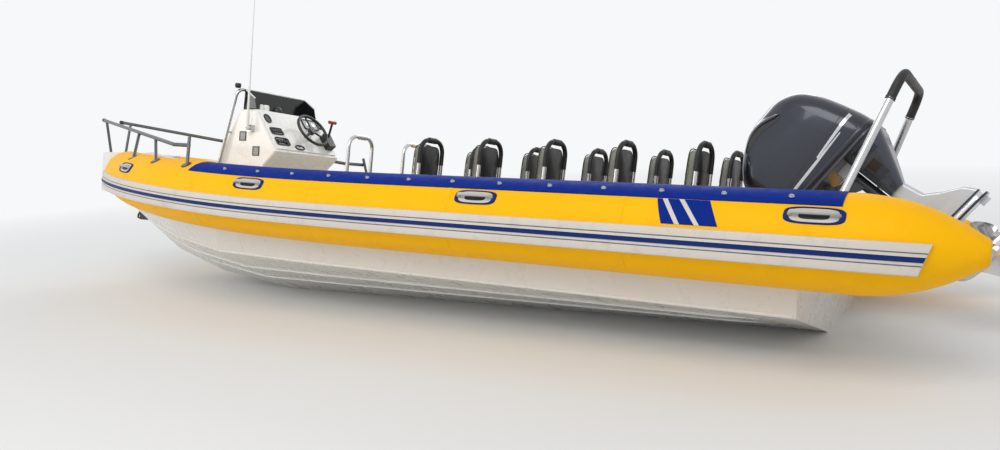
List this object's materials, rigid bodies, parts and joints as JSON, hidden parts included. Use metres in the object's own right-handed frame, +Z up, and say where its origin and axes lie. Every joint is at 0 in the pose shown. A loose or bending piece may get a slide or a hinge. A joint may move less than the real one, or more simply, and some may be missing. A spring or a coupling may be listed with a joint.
{
  "type": "rigid inflatable boat",
  "caption": "Rigid inflatable boat with yellow tubes, blue wear strips, a helm console, two columns of jockey seats, a raked light frame and a tilted outboard engine",
  "frame": {"origin": "centre of the bounding box, on the floor that the boat lies on", "axes": "+X towards the bow along the keel, +Y to port, +Z up; the boat lies on its keel and the aft end of its starboard chine, heeled 9.3 degrees to starboard"},
  "size_m": [8.9184, 2.7866, 3.329],
  "materials": {
    "tube_fabric": "satin",
    "strake_rubber": "matte",
    "blue_strip": "satin",
    "gelcoat": "gloss",
    "stainless": "polished",
    "black_rubber": "matte",
    "grey_plastic": "matte",
    "dark_pane": "gloss",
    "black_plastic": "satin",
    "white_plastic": "satin",
    "vinyl": "satin",
    "engine_paint": "gloss",
    "silver_paint": "satin",
    "cast_grey": "matte"
  },
  "bodies": {
    "boat": {"tube_port": "tube_fabric", "tube_starboard": "tube_fabric", "rubbing_strake_port": "strake_rubber", "rubbing_strake_starboard": "strake_rubber", "top_strip_port": "blue_strip", "top_strip_starboard": "blue_strip", "hull": "gelcoat", "bulwark_port": "gelcoat", "bulwark_starboard": "gelcoat", "transom": "gelcoat", "bow_deck": "gelcoat", "nose_cap": "gelcoat", "bow_rails": "stainless", "mooring_cleats": "stainless", "bow_eye": "stainless", "tube_handles": "black_rubber", "console_shell": "gelcoat", "dash_panel": "grey_plastic", "windscreen": "dark_pane", "console_rail": "stainless", "throttle_box": "black_plastic", "compass": "black_plastic", "antenna_mount": "stainless", "front_hoops": "stainless", "seat_pods": "gelcoat", "seat_cushions": "vinyl", "seat_backs": "vinyl", "seat_hoops": "stainless", "stern_platforms": "gelcoat", "light_frame": "stainless", "transom_eyes": "stainless", "clamp_bracket": "engine_paint"},
    "bow_hatch": {"bow_hatch_lid": "gelcoat"},
    "helm_wheel": {"steering_wheel": "black_plastic"},
    "antenna": {"whip_antenna": "white_plastic"},
    "swivel": {"swivel_bracket": "engine_paint"},
    "outboard": {"midsection": "silver_paint", "lower_cowl": "engine_paint", "upper_cowl": "engine_paint", "engine_block": "cast_grey", "gearcase": "silver_paint"},
    "prop": {"propeller": "stainless"},
    "ram": {"tilt_ram": "engine_paint"},
    "ram_piston": {"tilt_rod": "stainless"}
  },
  "joints": [
    {"name": "engine_tilt", "type": "hinge", "parent": "boat", "child": "swivel", "pos_m": [-3.367, -0.05801, 0.92327], "axis": [-0.0062, 0.9869, 0.1609], "range_deg": [-52, 5]},
    {"name": "engine_steer", "type": "hinge", "parent": "swivel", "child": "outboard", "pos_m": [-3.62303, -0.05848, 0.91639], "axis": [0.7642, -0.0991, 0.6373], "range_deg": [-30, 30]},
    {"name": "propeller_spin", "type": "hinge", "parent": "outboard", "child": "prop", "pos_m": [-4.33305, -0.0148, 0.62129], "axis": [0.645, 0.1269, -0.7536], "continuous": true},
    {"name": "tilt_ram_swing", "type": "hinge", "parent": "boat", "child": "ram", "pos_m": [-3.42649, -0.00487, 0.59506], "axis": [-0.0062, 0.9869, 0.1609], "range_deg": [-0.74, 7.74]},
    {"name": "tilt_rod_slide", "type": "slide", "parent": "ram", "child": "ram_piston", "axis": [-0.1637, -0.1597, 0.9735], "range_m": [-0.09241, 0.00889]},
    {"name": "helm_turn", "type": "hinge", "parent": "boat", "child": "helm_wheel", "pos_m": [1.35357, -0.17844, 1.46973], "axis": [-0.8269, -0.0955, 0.5542], "range_deg": [-720, 720]},
    {"name": "antenna_fold", "type": "hinge", "parent": "boat", "child": "antenna", "pos_m": [1.64334, 0.36215, 1.53343], "axis": [-0.0062, 0.9869, 0.1609], "range_deg": [-90, 0]},
    {"name": "bow_hatch_hinge", "type": "hinge", "parent": "boat", "child": "bow_hatch", "pos_m": [3.1403, -0.06203, 1.19699], "axis": [-0.0062, 0.9869, 0.1609], "range_deg": [0, 100]}
  ],
  "couplings": [
    {"joint": "tilt_ram_swing", "follows": "engine_tilt", "ratio": -0.14883},
    {"joint": "tilt_rod_slide", "follows": "engine_tilt", "m_per_rad": 0.10182},
    {"joint": "helm_turn", "follows": "engine_steer", "ratio": 24}
  ]
}
